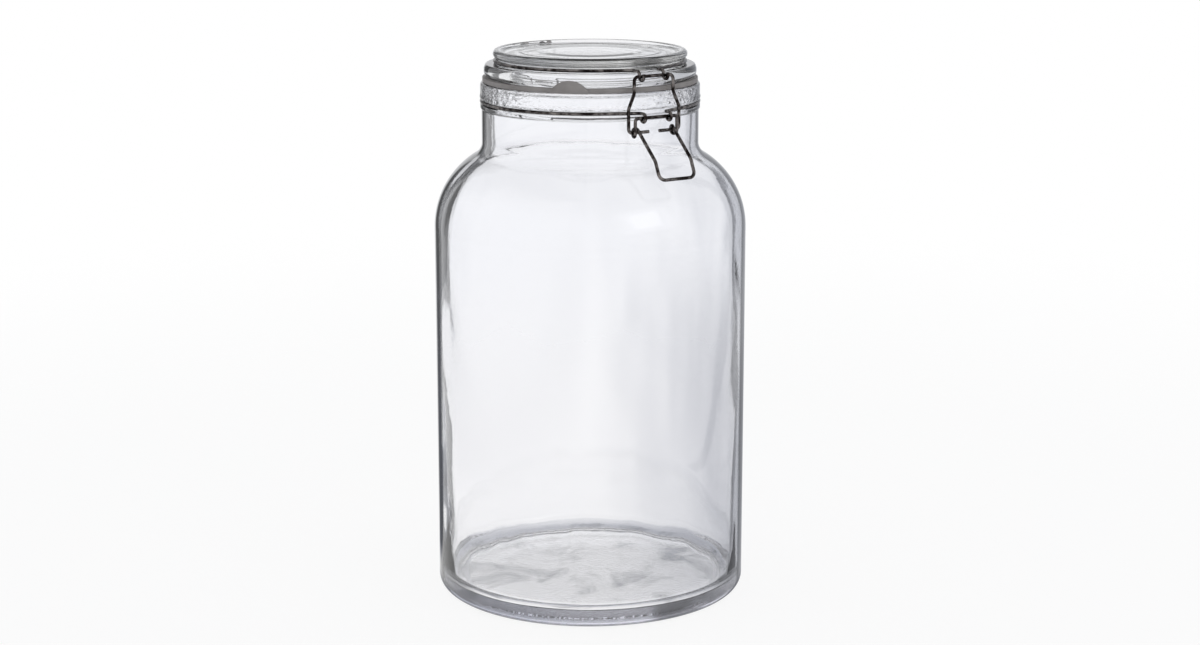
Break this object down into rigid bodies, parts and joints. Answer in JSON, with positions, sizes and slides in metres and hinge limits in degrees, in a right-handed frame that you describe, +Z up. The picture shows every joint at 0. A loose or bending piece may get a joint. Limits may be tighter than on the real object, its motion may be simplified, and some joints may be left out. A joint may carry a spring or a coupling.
{
  "type": "glass storage jar",
  "caption": "Clear glass storage jar with a hinged glass lid, a rubber seal and a wire clip that pulls the lid shut.",
  "frame": {"origin": "centre of the jar's bearing ring, on the surface that it stands on", "axes": "+Z up along the jar's axis; -Y towards the wire clip, +Y towards the lid's hinge"},
  "size_m": [0.17, 0.1704, 0.3],
  "materials": {
    "clear_glass": "clear pressed and blown soda-lime glass, fire-polished",
    "seal_rubber": "translucent grey-brown moulded rubber, matt",
    "steel_wire": "bright drawn stainless spring wire"
  },
  "bodies": {
    "jar": {"glass_jar": "clear_glass", "neck_band": "steel_wire"},
    "lid": {"glass_lid": "clear_glass", "seal": "seal_rubber", "lid_band": "steel_wire"},
    "lever": {"lever": "steel_wire"},
    "bail": {"bail": "steel_wire"}
  },
  "joints": [
    {"name": "lid_hinge", "type": "hinge", "parent": "jar", "child": "lid", "pos_m": [0, 0.0613, 0.29167], "axis": [-1, 0, 0], "range_deg": [0, 105]},
    {"name": "lever_pivot", "type": "hinge", "parent": "jar", "child": "lever", "pos_m": [0, -0.0643, 0.27017], "axis": [-1, 0, 0], "range_deg": [0, 12.6]},
    {"name": "bail_pivot", "type": "hinge", "parent": "lever", "child": "bail", "pos_m": [0, -0.0622, 0.26252], "axis": [1, 0, 0], "range_deg": [0, 115.5]}
  ],
  "couplings": [
    {"joint": "lever_pivot", "follows": "lid_hinge", "ratio": 0.114},
    {"joint": "bail_pivot", "follows": "lid_hinge", "ratio": 1.095}
  ]
}
